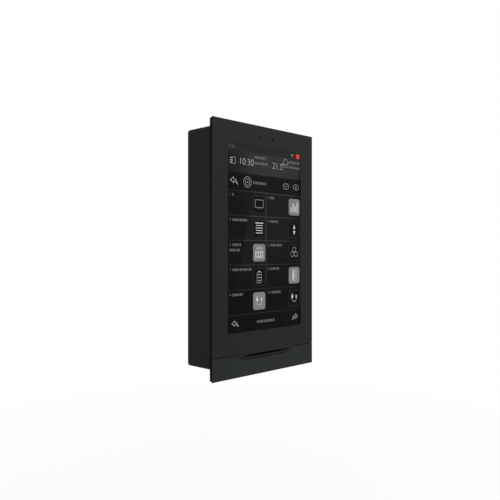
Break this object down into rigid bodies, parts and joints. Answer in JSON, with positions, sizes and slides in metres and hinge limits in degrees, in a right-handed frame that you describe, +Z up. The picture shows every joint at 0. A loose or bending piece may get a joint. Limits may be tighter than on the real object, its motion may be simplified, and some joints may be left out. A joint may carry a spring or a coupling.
{
  "type": "wall touch panel",
  "caption": "Flush wall touch panel: flat dark plate with a tall display, a pull-off lower cover under a chevron seam, a sound slot and sensor ports, on an in-wall box.",
  "frame": {"origin": "centre of the in-wall box's rear face, at the middle of the four wall screw holes", "axes": "+X to the viewer's right, +Y into the wall, +Z up; the display faces -Y"},
  "size_m": [0.123, 0.0387, 0.207],
  "materials": {
    "plate_plastic": "fine-grained anthracite moulding",
    "box_plastic": "plain black moulding",
    "inner_plastic": "plain black moulding",
    "touch_glass": "polished",
    "lcd_cell": "polished black",
    "foam": "closed-cell foam",
    "tray_steel": "pressed sheet",
    "ribbon_film": "amber film",
    "socket_plastic": "natural nylon",
    "screw_steel": "zinc plated",
    "circuit_board": "green solder mask",
    "chip_epoxy": "moulded epoxy",
    "can_metal": "drawn can",
    "cell_steel": "nickel plated",
    "bus_plastic": "red moulding",
    "power_plastic": "green moulding",
    "switch_plastic": "black moulding",
    "reset_grey": "grey moulding",
    "programming_red": "red moulding",
    "speaker_basket": "black moulding",
    "speaker_film": "formed film",
    "dust_cloth": "acoustic cloth",
    "capsule_brass": "plated",
    "tinted_pin": "tinted acrylic"
  },
  "bodies": {
    "housing": {"wall_box": "box_plastic", "front_bezel": "plate_plastic", "touch_glass": "touch_glass", "display_gasket": "foam", "lcd_panel": "lcd_cell", "backlight_tray": "tray_steel", "display_ribbon": "ribbon_film", "ribbon_connector": "socket_plastic", "mid_frame": "inner_plastic", "frame_screws": "screw_steel", "main_board": "circuit_board", "processor": "chip_epoxy", "memory_chips": "chip_epoxy", "shield_can": "can_metal", "capacitors": "can_metal", "coin_cell_holder": "socket_plastic", "coin_cell": "cell_steel", "bus_terminal": "bus_plastic", "power_terminal": "power_plastic", "reset_switch": "switch_plastic", "programming_switch": "switch_plastic", "speaker_frame": "speaker_basket", "speaker_cone": "speaker_film", "speaker_gasket": "foam", "slot_mesh": "dust_cloth", "sensor_board": "circuit_board", "microphone": "capsule_brass", "microphone_boot": "foam", "light_sensor": "chip_epoxy", "light_pipe": "tinted_pin", "rear_cover": "inner_plastic", "case_screws": "screw_steel", "fixing_screws": "screw_steel"},
    "lower_cover": {"lower_cover": "plate_plastic"},
    "reset_button": {"reset_button": "reset_grey"},
    "programming_button": {"programming_button": "programming_red"}
  },
  "joints": [
    {"name": "cover_pull", "type": "slide", "parent": "housing", "child": "lower_cover", "axis": [0, -1, 0], "range_m": [0, 0.012]},
    {"name": "reset_press", "type": "slide", "parent": "housing", "child": "reset_button", "axis": [0, 1, 0], "range_m": [0, 0.0005], "stiffness_N_per_m": 1500},
    {"name": "programming_press", "type": "slide", "parent": "housing", "child": "programming_button", "axis": [0, 1, 0], "range_m": [0, 0.0005], "stiffness_N_per_m": 1500}
  ]
}
